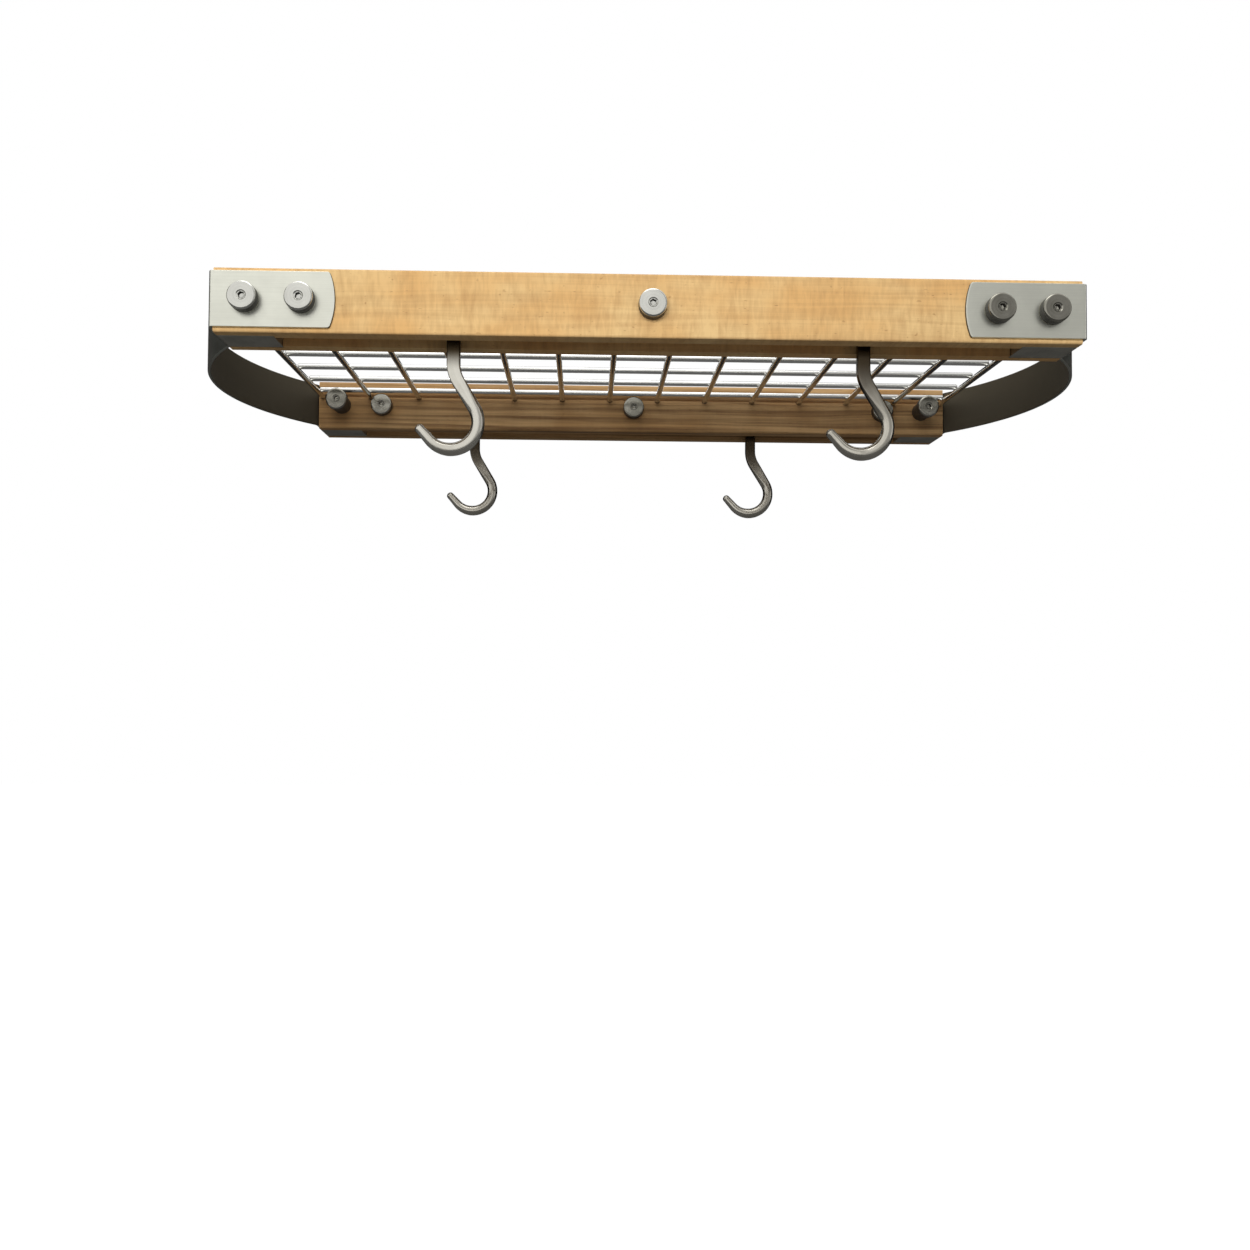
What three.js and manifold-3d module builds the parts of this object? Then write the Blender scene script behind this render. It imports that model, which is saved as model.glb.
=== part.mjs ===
// Wall-hung pot rack: two slotted maple rails, two bowed steel side straps, a welded wire grid
// and four hooks that slide along the undersides of the rails.
//
// Millimetres. X runs along the rails, +Y points at the wall and +Z is up.
// The origin lies on the wall plane, midway along the rails, level with their undersides.

import * as THREE from 'three';
import { mergeVertices } from 'three/addons/utils/BufferGeometryUtils.js';
import Module from 'manifold-3d';

const wasm = await Module();
wasm.setup();

// ---------------------------------------------------------------- driving dimensions

// Rails
const railLength = 605;
const railDepth = 51;
const railHeight = 45;
const railGap = 293; // clear distance between the two rails
const railEdgeRadius = 1.6;

// Slot along the underside of each rail: a narrow mouth below a wider channel
const slotMouthWidth = 22;
const slotLip = 6; // height of the lips on which the hook heads ride
const channelWidth = 32;
const channelHeight = 8;

// Groove on the inner face of each rail, which holds the ends of the grid's cross wires
const grooveHeight = 9.5;
const grooveDepth = 8;
const wireNotchDepth = 2.4; // how far a cross wire sinks below the groove floor

// Side straps
const strapThickness = 2.5;
const strapHeight = 39;
const strapBendRadius = 3.2; // outer radius where the strap wraps a rail's corner
const strapPlateMargin = 23.2; // from the inner bolt's axis to the plate's rounded end
const plateEndRise = 3.8; // how far the plate's rounded end swells
const plateCornerRadius = 1.6;
const bowRise = 48.5; // how far the strap bows out past the rails' ends
const bowLead = 2; // how far before the rails' inner faces the bow starts
const bowKinkRadius = 9;

// Bolts, sleeves and inserts
const boltInset = 22; // from a rail's end to its outermost bolt
const boltSpacing = 38.5;
const boltDiameter = 6.4;
const headDiameter = 20;
const headHeight = 9;
const headEdgeRadius = 1.7;
const headSinkDiameter = 7; // the countersunk mouth of the socket
const headSinkDepth = 0.7;
const socketAcrossFlats = 4;
const socketDepth = 4.5;
const sleeveDiameter = 17;
const sleeveLength = 21.5;
const sleeveEdge = 0.5;
const insertDiameter = 10;
const insertLength = 13;

// End blocks
const endBlockLength = 39;
const endBlockHeight = 30;
const endBlockEdge = 1;

// Wire grid
const wireDiameter = 5;
const gridPitch = 46.5; // the widest spacing of the wires
const crossWireInset = 3.5; // from a rail's end to its outermost cross wire's axis
const longWireMargin = 5; // least clear distance between a long wire and a rail
const weldSink = 0.4; // how far the wires sink into each other where they are welded
const wireEndChamfer = 0.8;
const longWireOverhang = 1.2; // how far a long wire passes the outermost cross wires' axes
const crossWirePlay = 0.9; // from a cross wire's end to the bottom of its groove
const longWireHeadroom = 0.3; // between the long wires and the tops of the bolt heads

// Hooks
const hookWidth = 9.5; // bar width along the rail, and the diameter of the round part
const hookShankThickness = 6.5; // of the flat part, front to back
const hookShankEdge = 1.2;
const hookCurlRadius = 19.5; // to the bar's centreline
const hookDrop = 79.8; // from the rail's underside to the lowest point of the hook
const hookCurlOffset = -1.8; // from the shank's axis to the curl's centre
const hookSlant = 31; // degrees, of the leg between shank and curl
const hookBendRadius = 26; // between the shank and the slanted leg
const hookCurlSweep = 138; // degrees, from the level of the curl's centre round to the straight tip
const hookTipLength = 11; // of the straight tip, up to its dome
const hookTipWidth = 6.8; // diameter at the foot of the dome
const hookTipDome = 3; // height of the dome
const hookTaperLength = 26; // length over which the bar narrows to the tip
const hookFlatShare = 0.27; // share of the bar's length, from the top, that stays flat
const hookRoundShare = 0.5; // share from which the bar is round
const hookHeadLength = 18;
const hookHeadThickness = 5;
const frontHookPlaces = [-140, 153];
const rearHookPlaces = [-155, 117];

// Clearances
const fitGap = 0.3; // between pieces that touch
const headPlay = 1; // on each side of a hook head in its channel
const cutOver = 1; // how far a cut runs past the face it opens

// ---------------------------------------------------------------- derived places

const strapStandOff = strapThickness + fitGap; // from the wood to a strap's outer face
const wallFaceY = -strapStandOff; // the wood's back; the straps' flanges reach the wall plane
const rearRailFrontY = wallFaceY - railDepth;
const frontRailBackY = rearRailFrontY - railGap;
const frontFaceY = frontRailBackY - railDepth;
const middleY = (rearRailFrontY + frontRailBackY) / 2;
const halfRail = railLength / 2;
const strapBottom = (railHeight - strapHeight) / 2;
const strapOuterX = halfRail + strapStandOff;
const boltHeight = railHeight / 2;
const outerBoltX = halfRail - boltInset;
const innerBoltX = outerBoltX - boltSpacing;
const plateEndX = innerBoltX - strapPlateMargin;
const boltPlaces = [
  { name: 'left_outer', x: -outerBoltX, plate: true, outer: true },
  { name: 'left_inner', x: -innerBoltX, plate: true, outer: false },
  { name: 'middle', x: 0, plate: false, outer: false },
  { name: 'right_inner', x: innerBoltX, plate: true, outer: false },
  { name: 'right_outer', x: outerBoltX, plate: true, outer: true },
];

// The long wires pass just over the bolt heads, and the cross wires hang below them in the grooves.
const longWireZ = boltHeight + headDiameter / 2 + longWireHeadroom + wireDiameter / 2;
const crossWireZ = longWireZ - wireDiameter + weldSink;
const grooveFloor = crossWireZ - wireDiameter / 2 - fitGap + wireNotchDepth;

// An even number of cross wires leaves the middle free for the bolts there.
const gridLength = railLength - 2 * crossWireInset;
const crossWireCount = 2 * Math.ceil((gridLength / gridPitch + 1) / 2);
const meshPitch = gridLength / (crossWireCount - 1);
const longWireRoom = railGap - wireDiameter - 2 * longWireMargin;
const crossWireXs = spread(crossWireCount, meshPitch);
const longWireYs = spread(Math.floor(longWireRoom / meshPitch) + 1, meshPitch).map((y) => y + middleY);

// Facets of the round forms
const edgeSteps = 3; // a small edge radius
const holeSteps = 18; // a bolt, its hole or its head
const innerSteps = 14; // what sits inside or behind the wood
const wireSteps = 8;
const barSteps = 12; // round a hook's bar
const curlSteps = 15; // along a hook's curl
const bendSteps = 4; // along the bend above it
const tipSteps = 3; // along its domed tip
const bowSteps = 14; // along half of a strap's bow
const kinkSteps = 5; // along the kinks at the bow's ends
const cornerSteps = 6; // round a strap's corners
const plateEndSteps = 14; // round a plate's swollen end

// ---------------------------------------------------------------- materials

/** A standard material with the given colour, roughness and metalness. */
function finish(color, roughness, metalness) {
  return new THREE.MeshStandardMaterial({ color, roughness, metalness });
}

const maple = () => finish(0xe1b97a, 0.55, 0);
const brushedSteel = () => finish(0xc9cac2, 0.38, 1);
const boltSteel = () => finish(0xb5b6ae, 0.3, 1);
const wireSteel = () => finish(0xd2d2cb, 0.22, 1);
const hookSteel = () => finish(0xb4b0a2, 0.33, 1);
const blockMetal = () => finish(0x8c8a80, 0.45, 1);

// ---------------------------------------------------------------- geometry helpers

/** Evenly spaced places, `count` of them, centred on zero. */
function spread(count, pitch) {
  return Array.from({ length: count }, (_, i) => (i - (count - 1) / 2) * pitch);
}

/** A closed geometry as a solid that can be joined and cut. */
function solid(geometry) {
  const bare = geometry.clone();
  bare.deleteAttribute('normal');
  bare.deleteAttribute('uv');
  const merged = mergeVertices(bare, 1e-4);
  return new wasm.Manifold(
    new wasm.Mesh({
      numProp: 3,
      vertProperties: new Float32Array(merged.attributes.position.array),
      triVerts: new Uint32Array(merged.index.array),
    }),
  );
}

/** The geometry of a solid, with flat facets. */
function geometryOf(body) {
  const mesh = body.getMesh();
  const geometry = new THREE.BufferGeometry();
  geometry.setAttribute('position', new THREE.BufferAttribute(mesh.vertProperties, 3));
  geometry.setIndex(new THREE.BufferAttribute(mesh.triVerts, 1));
  const flat = geometry.toNonIndexed();
  flat.computeVertexNormals();
  return flat;
}

/** Join several solids into one. */
function union(bodies) {
  return bodies.reduce((sum, body) => sum.add(body));
}

/** Cut several solids out of one. */
function without(body, cutters) {
  return cutters.reduce((rest, cutter) => rest.subtract(cutter), body);
}

/** Stand a geometry whose profile is in (Y, Z) along X, starting at x. */
function alongX(geometry, x) {
  const turn = new THREE.Matrix4().makeBasis(
    new THREE.Vector3(0, 1, 0),
    new THREE.Vector3(0, 0, 1),
    new THREE.Vector3(1, 0, 0),
  );
  return geometry.applyMatrix4(turn).translate(x, 0, 0);
}

/** Stand a geometry whose profile is in (X, Z) so that it runs from y towards -Y. */
function alongMinusY(geometry, y) {
  return geometry.rotateX(Math.PI / 2).translate(0, y, 0);
}

/** A closed shape through corners, each rounded by its own radius (0 keeps it sharp). */
function roundedShape(corners) {
  const cornerAt = (i) => new THREE.Vector2(...corners.at(i % corners.length).slice(0, 2));
  const points = corners.flatMap(([, , radius = 0], i) => {
    const here = cornerAt(i);
    if (radius === 0) {
      return [here];
    }
    const back = cornerAt(i - 1).sub(here).normalize();
    const ahead = cornerAt(i + 1).sub(here).normalize();
    const half = Math.acos(back.dot(ahead)) / 2;
    const centre = back.clone().add(ahead).normalize().multiplyScalar(radius / Math.sin(half)).add(here);
    const start = here.clone().addScaledVector(back, radius / Math.tan(half));
    const turn = Math.sign(back.cross(ahead)) * (2 * half - Math.PI);
    return Array.from({ length: edgeSteps + 1 }, (_, k) => (
      start.clone().rotateAround(centre, (turn * k) / edgeSteps)
    ));
  });
  return new THREE.Shape(points);
}

/** A prism over a flat shape. */
function prism(shape, depth) {
  return new THREE.ExtrudeGeometry(shape, { depth, bevelEnabled: false, curveSegments: edgeSteps });
}

/** A box with its low corner at `low` and its high corner at `high`. */
function boxBetween(low, high) {
  const size = high.map((value, i) => value - low[i]);
  return new THREE.BoxGeometry(...size).translate(...low.map((value, i) => value + size[i] / 2));
}

/** A cylinder of the given radius whose axis runs along Y from y0 to y1. */
function cylinderY(radius, x, y0, y1, z, steps = holeSteps) {
  const length = Math.abs(y1 - y0);
  return new THREE.CylinderGeometry(radius, radius, length, steps).translate(x, (y0 + y1) / 2, z);
}

/** A turned piece: the profile is a list of [radius, y], closed on the axis, turned about Y. */
function turned(profile, steps = holeSteps) {
  return new THREE.LatheGeometry(profile.map(([r, y]) => new THREE.Vector2(r, y)), steps);
}

/** Points of a quarter round between two directions, for turned profiles. */
function quarter(centreR, centreY, radius, from, to) {
  return Array.from({ length: edgeSteps }, (_, i) => {
    const angle = from + ((to - from) * i) / (edgeSteps - 1);
    return [centreR + radius * Math.cos(angle), centreY + radius * Math.sin(angle)];
  });
}

// ---------------------------------------------------------------- rails

// `outerY` is where a rail's outer face lies and `out` the sign of the way it faces. Both rails'
// bolts are driven from the front, into inserts at `backY`.
const frontRail = { outerY: frontFaceY, out: -1, backY: frontRailBackY };
const rearRail = { outerY: wallFaceY, out: 1, backY: wallFaceY };

/** The section of a rail, in (Y, Z). */
function railSection({ outerY, out }) {
  const at = (u) => outerY - out * u; // u is measured from the outer face inwards
  const mouth = (railDepth - slotMouthWidth) / 2;
  const channel = (railDepth - channelWidth) / 2;
  const corners = [
    [at(0), 0, railEdgeRadius],
    [at(mouth), 0],
    [at(mouth), slotLip],
    [at(channel), slotLip],
    [at(channel), slotLip + channelHeight],
    [at(railDepth - channel), slotLip + channelHeight],
    [at(railDepth - channel), slotLip],
    [at(railDepth - mouth), slotLip],
    [at(railDepth - mouth), 0],
    [at(railDepth), 0, railEdgeRadius],
    [at(railDepth), grooveFloor],
    [at(railDepth - grooveDepth), grooveFloor],
    [at(railDepth - grooveDepth), grooveFloor + grooveHeight],
    [at(railDepth), grooveFloor + grooveHeight],
    [at(railDepth), railHeight, railEdgeRadius],
    [at(0), railHeight, railEdgeRadius],
  ];
  return roundedShape(out < 0 ? corners : corners.reverse());
}

/** The hole for a bolt across a rail, and the wider one for its insert. */
function boltHole({ backY }, x) {
  const end = backY + cutOver;
  return [
    cylinderY(boltDiameter / 2 + fitGap, x, backY - railDepth - cutOver, end, boltHeight),
    cylinderY(insertDiameter / 2 + fitGap, x, backY - insertLength - fitGap, end, boltHeight, innerSteps),
  ];
}

/** The pocket in each end of a rail that takes an end block. */
function endPockets({ outerY, out }) {
  const side = (railDepth - channelWidth) / 2;
  const ys = [outerY - out * side, outerY - out * (railDepth - side)].sort((a, b) => a - b);
  return [-1, 1].map((end) => {
    const xs = [end * (halfRail - endBlockLength - fitGap), end * (halfRail + cutOver)].sort((a, b) => a - b);
    return boxBetween([xs[0], ys[0], -cutOver], [xs[1], ys[1], endBlockHeight + fitGap]);
  });
}

/** A round-bottomed notch in the groove's lower lip for each cross wire. */
function wireNotches({ outerY, out }) {
  const radius = wireDiameter / 2 + fitGap;
  const innerY = outerY - out * railDepth;
  const from = innerY - out * cutOver;
  const to = innerY + out * grooveDepth;
  return crossWireXs.map((x) => cylinderY(radius, x, from, to, crossWireZ, wireSteps));
}

/** A rail with its slot, groove, end pockets, notches and bolt holes. */
function makeRail(rail) {
  const bar = solid(alongX(prism(railSection(rail), railLength), -halfRail));
  const holes = boltPlaces.flatMap(({ x }) => boltHole(rail, x));
  return without(bar, [...endPockets(rail), ...wireNotches(rail), ...holes].map(solid));
}

// ---------------------------------------------------------------- end blocks

/** A block that closes one end of a rail's slot, with the outermost bolt through it. */
function makeEndBlock(end, rail) {
  const width = channelWidth - 2 * fitGap;
  const centreY = rail.outerY - (rail.out * railDepth) / 2;
  const outline = roundedShape([
    [centreY - width / 2, 0, endBlockEdge],
    [centreY + width / 2, 0, endBlockEdge],
    [centreY + width / 2, endBlockHeight],
    [centreY - width / 2, endBlockHeight],
  ]);
  const start = end < 0 ? -halfRail : halfRail - endBlockLength;
  const block = solid(alongX(prism(outline, endBlockLength), start));
  return without(block, boltHole(rail, end * outerBoltX).map(solid));
}

// ---------------------------------------------------------------- side straps

/** Points of an arc about a centre, from one angle to another. */
function arcPoints(cx, cy, radius, from, to, steps) {
  return Array.from({ length: steps + 1 }, (_, i) => {
    const angle = from + ((to - from) * i) / steps;
    return new THREE.Vector2(cx + radius * Math.cos(angle), cy + radius * Math.sin(angle));
  });
}

/** The right strap's outer line in plan, front half, as far as the middle of the bow. */
function strapFrontHalf() {
  const faceY = frontFaceY - strapStandOff;
  const bowHalf = railGap / 2 + bowLead;
  const bowRadius = (bowHalf ** 2 + bowRise ** 2) / (2 * bowRise);
  const bowX = strapOuterX + bowRise - bowRadius;
  const kink = Math.asin(bowHalf / bowRadius);
  const ease = bowKinkRadius * Math.tan(kink / 2);
  const kinkY = middleY - bowHalf;
  // The rounded kink: an arc tangent to the end leg and, closely, to the bow.
  const kinkX = strapOuterX + bowKinkRadius;
  const kinkArc = arcPoints(kinkX, kinkY - ease, bowKinkRadius, Math.PI, Math.PI - kink, kinkSteps);
  const last = kinkArc.at(-1);
  const bowFrom = Math.atan2(last.y - middleY, last.x - bowX);
  const bow = arcPoints(bowX, middleY, Math.hypot(last.x - bowX, last.y - middleY), bowFrom, 0, bowSteps);
  const cornerX = strapOuterX - strapBendRadius;
  return [
    new THREE.Vector2(plateEndX, faceY),
    ...arcPoints(cornerX, faceY + strapBendRadius, strapBendRadius, -Math.PI / 2, 0, cornerSteps),
    ...kinkArc,
    ...bow.slice(1),
  ];
}

/** Offset an open line to its left by a distance, mitred at each point. */
function offsetLine(points, distance) {
  return points.map((point, i) => {
    const before = points[Math.max(i - 1, 0)];
    const after = points[Math.min(i + 1, points.length - 1)];
    const dirA = (i === 0 ? after.clone().sub(point) : point.clone().sub(before)).normalize();
    const dirB = (i === points.length - 1 ? point.clone().sub(before) : after.clone().sub(point)).normalize();
    const normal = new THREE.Vector2(-dirA.y - dirB.y, dirA.x + dirB.x).normalize();
    return point.clone().addScaledVector(normal, distance / normal.dot(new THREE.Vector2(-dirA.y, dirA.x)));
  });
}

/** What is cut off a plate's end so that it swells in an arc with eased corners. */
function plateEndCutter(side, y) {
  const half = strapHeight / 2 + cutOver;
  const radius = ((strapHeight / 2) ** 2 + plateEndRise ** 2) / (2 * plateEndRise);
  const span = Math.asin((strapHeight / 2 - plateCornerRadius / 2) / radius);
  const nearX = plateEndX - cutOver;
  const farX = plateEndX + plateEndRise + plateCornerRadius;
  const points = [
    new THREE.Vector2(nearX, half),
    new THREE.Vector2(farX, half),
    ...arcPoints(plateEndX + radius, 0, radius, Math.PI - span, Math.PI + span, plateEndSteps),
    new THREE.Vector2(farX, -half),
    new THREE.Vector2(nearX, -half),
  ].map(({ x, y: z }) => new THREE.Vector2(side * x, z + railHeight / 2));
  const depth = 2 * (strapThickness + cutOver);
  return alongMinusY(prism(new THREE.Shape(side > 0 ? points.reverse() : points), depth), y + depth / 2);
}

/** A side strap: plate, corner, end leg, bow, end leg, corner and flange in one strip. */
function makeStrap(side) {
  const front = strapFrontHalf();
  const rear = front.map((p) => new THREE.Vector2(p.x, 2 * middleY - p.y)).reverse().slice(1);
  const outer = [...front, ...rear];
  const inner = offsetLine(outer, strapThickness);
  const ring = [...outer, ...inner.reverse()].map((p) => new THREE.Vector2(side * p.x, p.y));
  const shape = new THREE.Shape(side > 0 ? ring : ring.reverse());
  const band = solid(prism(shape, strapHeight).translate(0, 0, strapBottom));
  const radius = boltDiameter / 2 + fitGap;
  const holes = [outerBoltX, innerBoltX].flatMap((x) => [
    cylinderY(radius, side * x, frontFaceY - strapStandOff - cutOver, frontFaceY + cutOver, boltHeight),
    cylinderY(radius, side * x, wallFaceY - cutOver, cutOver, boltHeight),
  ]);
  const ends = [frontFaceY - fitGap, 0].map((y) => plateEndCutter(side, y - strapThickness / 2));
  return without(band, [...holes, ...ends].map(solid));
}

// ---------------------------------------------------------------- wire grid

/** A straight wire with chamfered ends, its axis along Y, centred on the origin. */
function wireGeometry(length) {
  const r = wireDiameter / 2;
  const half = length / 2;
  return turned([
    [0, -half],
    [r - wireEndChamfer, -half],
    [r, -half + wireEndChamfer],
    [r, half - wireEndChamfer],
    [r - wireEndChamfer, half],
    [0, half],
  ], wireSteps);
}

/** The grid: cross wires below, long wires welded on top of them. */
function makeGrid() {
  const crossLength = railGap + 2 * (grooveDepth - crossWirePlay);
  const longLength = gridLength + 2 * longWireOverhang;
  const cross = crossWireXs.map((x) => solid(wireGeometry(crossLength).translate(x, middleY, crossWireZ)));
  const long = longWireYs.map((y) => (
    solid(wireGeometry(longLength).rotateZ(Math.PI / 2).translate(0, y, longWireZ))
  ));
  return union([...cross, ...long]);
}

// ---------------------------------------------------------------- hooks

/** The hook's centreline in (x, z), from inside its head to the foot of the domed tip. */
function hookLine() {
  const slant = THREE.MathUtils.degToRad(hookSlant);
  const centreX = hookCurlOffset;
  const centreZ = -hookDrop + hookCurlRadius + hookWidth / 2;
  const curlStartX = centreX + hookCurlRadius * Math.cos(slant);
  const curlStartZ = centreZ + hookCurlRadius * Math.sin(slant);
  const cornerZ = curlStartZ + curlStartX / Math.tan(slant);
  const reach = hookBendRadius * Math.tan(slant / 2);
  const sweep = THREE.MathUtils.degToRad(hookCurlSweep);
  const bendX = hookBendRadius;
  const bendZ = cornerZ + reach;
  const curl = arcPoints(centreX, centreZ, hookCurlRadius, slant, -sweep, curlSteps);
  const tipWay = new THREE.Vector2(-Math.sin(sweep), -Math.cos(sweep));
  return [
    new THREE.Vector2(0, slotLip + fitGap + hookHeadThickness / 2),
    new THREE.Vector2(0, 0),
    ...arcPoints(bendX, bendZ, hookBendRadius, Math.PI, Math.PI + slant, bendSteps),
    ...curl,
    curl.at(-1).clone().addScaledVector(tipWay, hookTipLength),
  ];
}

/** How far each point of a line is from the line's start, measured along it. */
function lengthsAlong(line) {
  let length = 0;
  return line.map((point, i) => {
    length += point.distanceTo(line[Math.max(i - 1, 0)]);
    return length;
  });
}

/** How round the bar is along the hook: 0 is the flat shank, 1 the round curl. */
function roundness(share) {
  return THREE.MathUtils.smoothstep(share, hookFlatShare, hookRoundShare);
}

/** One ring of the bar, to scale: a rounded rectangle that turns into a circle. */
function barRing(round, scale) {
  const w = hookWidth / 2;
  const d = THREE.MathUtils.lerp(hookShankThickness / 2, w, round);
  const edge = THREE.MathUtils.lerp(hookShankEdge, w, round);
  const r = Math.min(edge, d);
  return Array.from({ length: barSteps }, (_, i) => {
    const angle = ((i + 0.5) / barSteps) * 2 * Math.PI;
    const u = Math.sign(Math.cos(angle)) * (w - r) + r * Math.cos(angle);
    const v = Math.sign(Math.sin(angle)) * (d - r) + r * Math.sin(angle);
    return [u * scale, v * scale];
  });
}

/** The bar of a hook, lofted ring by ring along its centreline, with a domed tip. */
function hookBar() {
  const line = hookLine();
  const lengths = lengthsAlong(line);
  const whole = lengths.at(-1);
  const rings = line.map((centre, i) => {
    const ahead = line[Math.min(i + 1, line.length - 1)].clone().sub(line[Math.max(i - 1, 0)]).normalize();
    const taper = Math.max(0, 1 - (whole - lengths[i]) / hookTaperLength);
    const scale = THREE.MathUtils.lerp(1, hookTipWidth / hookWidth, taper);
    return { centre, ahead, scale, round: roundness(lengths[i] / whole) };
  });
  const foot = rings.at(-1);
  for (let k = 1; k <= tipSteps; k += 1) {
    const angle = (k / (tipSteps + 1)) * (Math.PI / 2);
    const centre = foot.centre.clone().addScaledVector(foot.ahead, hookTipDome * Math.sin(angle));
    rings.push({ ...foot, centre, scale: foot.scale * Math.cos(angle) });
  }
  const positions = rings.flatMap(({ centre, ahead, scale, round }) => (
    // u runs square to the bar in the hook's plane, v runs front to back
    barRing(round, scale).flatMap(([u, v]) => [centre.x - ahead.y * u, v, centre.y + ahead.x * u])
  ));
  return loft(positions, rings.length, barSteps);
}

/** A closed geometry through stacked rings of points, capped flat at both ends. */
function loft(positions, ringCount, perRing) {
  const index = [];
  for (let i = 0; i < ringCount - 1; i += 1) {
    for (let j = 0; j < perRing; j += 1) {
      const a = i * perRing + j;
      const b = i * perRing + ((j + 1) % perRing);
      index.push(a, a + perRing, b, b, a + perRing, b + perRing);
    }
  }
  const lastRing = (ringCount - 1) * perRing;
  for (let j = 1; j < perRing - 1; j += 1) {
    index.push(0, j, j + 1);
    index.push(lastRing, lastRing + j + 1, lastRing + j);
  }
  const geometry = new THREE.BufferGeometry();
  geometry.setAttribute('position', new THREE.Float32BufferAttribute(positions, 3));
  geometry.setIndex(index);
  return geometry;
}

/** A hook with the flat head that rides on the lips of the slot. */
function makeHook(x, y) {
  const headWidth = channelWidth - 2 * headPlay;
  const half = hookHeadLength / 2;
  const head = roundedShape([
    [-half, -headWidth / 2, hookShankEdge],
    [half, -headWidth / 2, hookShankEdge],
    [half, headWidth / 2, hookShankEdge],
    [-half, headWidth / 2, hookShankEdge],
  ]);
  const plate = prism(head, hookHeadThickness).translate(0, 0, slotLip + fitGap);
  return geometryOf(solid(hookBar()).add(solid(plate))).translate(x, y, 0);
}

// ---------------------------------------------------------------- fasteners

/** The cutter of a hexagon socket whose mouth is at y = 0 and which runs to +Y. */
function socketCutter() {
  const radius = socketAcrossFlats / Math.sqrt(3);
  const depth = socketDepth + cutOver;
  return new THREE.CylinderGeometry(radius, radius, depth, 6).translate(0, depth / 2 - cutOver, 0);
}

/** A bolt with its head's outer face at y = 0, its shank running to +Y. */
function boltSolid(shankLength) {
  const r = headDiameter / 2;
  const e = headEdgeRadius;
  const sink = headSinkDiameter / 2;
  const profile = [
    [0, headSinkDepth],
    [sink - headSinkDepth, headSinkDepth],
    [sink, 0],
    ...quarter(r - e, e, e, -Math.PI / 2, 0),
    [r, headHeight],
    [boltDiameter / 2, headHeight],
    [boltDiameter / 2, headHeight + shankLength],
    [0, headHeight + shankLength],
  ];
  return solid(turned(profile)).subtract(solid(socketCutter()));
}

/** A bolt whose head rests at seatY and whose shank ends at endY. */
function makeBolt(x, seatY, endY) {
  const geometry = geometryOf(boltSolid(endY - seatY));
  return geometry.translate(x, seatY - headHeight, boltHeight);
}

/** A plain sleeve that holds a bolt head away from the rail. */
function makeSleeve(x, faceY) {
  const outer = sleeveDiameter / 2;
  const inner = boltDiameter / 2 + fitGap;
  const profile = [
    [inner, -sleeveLength],
    [outer - sleeveEdge, -sleeveLength],
    [outer, -sleeveLength + sleeveEdge],
    [outer, -sleeveEdge],
    [outer - sleeveEdge, 0],
    [inner, 0],
    [inner, -sleeveLength],
  ];
  return turned(profile).translate(x, faceY - fitGap, boltHeight);
}

/** A threaded insert, flush in the back of a rail. */
function makeInsert(x, backY) {
  const outer = insertDiameter / 2;
  const inner = boltDiameter / 2 + fitGap;
  const profile = [
    [inner, -insertLength],
    [outer, -insertLength],
    [outer, 0],
    [inner, 0],
    [inner, -insertLength],
  ];
  return turned(profile, innerSteps).translate(x, backY, boltHeight);
}

// ---------------------------------------------------------------- assembly

const rack = new THREE.Group();

/** Add one named piece to a group. */
function add(group, name, geometry, material) {
  const mesh = new THREE.Mesh(geometry, material);
  mesh.name = name;
  group.add(mesh);
}

const woodwork = new THREE.Group();
add(woodwork, 'front_rail', geometryOf(makeRail(frontRail)), maple());
add(woodwork, 'rear_rail', geometryOf(makeRail(rearRail)), maple());
rack.add(woodwork);

const metalwork = new THREE.Group();
for (const [name, side] of [['left', -1], ['right', 1]]) {
  add(metalwork, `${name}_side_strap`, geometryOf(makeStrap(side)), brushedSteel());
  add(metalwork, `front_${name}_end_block`, geometryOf(makeEndBlock(side, frontRail)), blockMetal());
  add(metalwork, `rear_${name}_end_block`, geometryOf(makeEndBlock(side, rearRail)), blockMetal());
}
add(metalwork, 'wire_grid', geometryOf(makeGrid()), wireSteel());
rack.add(metalwork);

const fasteners = new THREE.Group();
for (const { name, x, plate, outer } of boltPlaces) {
  const frontSeat = frontFaceY - fitGap - (plate ? strapStandOff : 0);
  add(fasteners, `front_bolt_${name}`, makeBolt(x, frontSeat, frontRailBackY - fitGap), boltSteel());
  add(fasteners, `front_insert_${name}`, makeInsert(x, frontRailBackY), boltSteel());
  const rearSeat = rearRailFrontY - fitGap - (outer ? sleeveLength + fitGap : 0);
  const rearEnd = plate ? -fitGap : wallFaceY - fitGap;
  add(fasteners, `rear_bolt_${name}`, makeBolt(x, rearSeat, rearEnd), boltSteel());
  add(fasteners, `rear_insert_${name}`, makeInsert(x, wallFaceY), boltSteel());
  if (outer) {
    add(fasteners, `rear_sleeve_${name.split('_')[0]}`, makeSleeve(x, rearRailFrontY), boltSteel());
  }
}
rack.add(fasteners);

const hooks = new THREE.Group();
const hookRows = [
  ['front', frontFaceY + railDepth / 2, frontHookPlaces],
  ['rear', wallFaceY - railDepth / 2, rearHookPlaces],
];
for (const [row, y, places] of hookRows) {
  places.forEach((x, i) => {
    add(hooks, `${row}_${i === 0 ? 'left' : 'right'}_hook`, makeHook(x, y), hookSteel());
  });
}
rack.add(hooks);

export default rack;
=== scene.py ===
"""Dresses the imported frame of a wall-hung pot rack.

Lengths are in metres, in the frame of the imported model: X runs along the rails, +Y points at
the wall and Z points up. The rails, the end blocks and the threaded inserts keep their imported
shapes and get new finishes. The straps, the wire shelf, the hooks, the bolts and the sleeves
are made again here as fine surfaces in the same places.
"""

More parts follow.
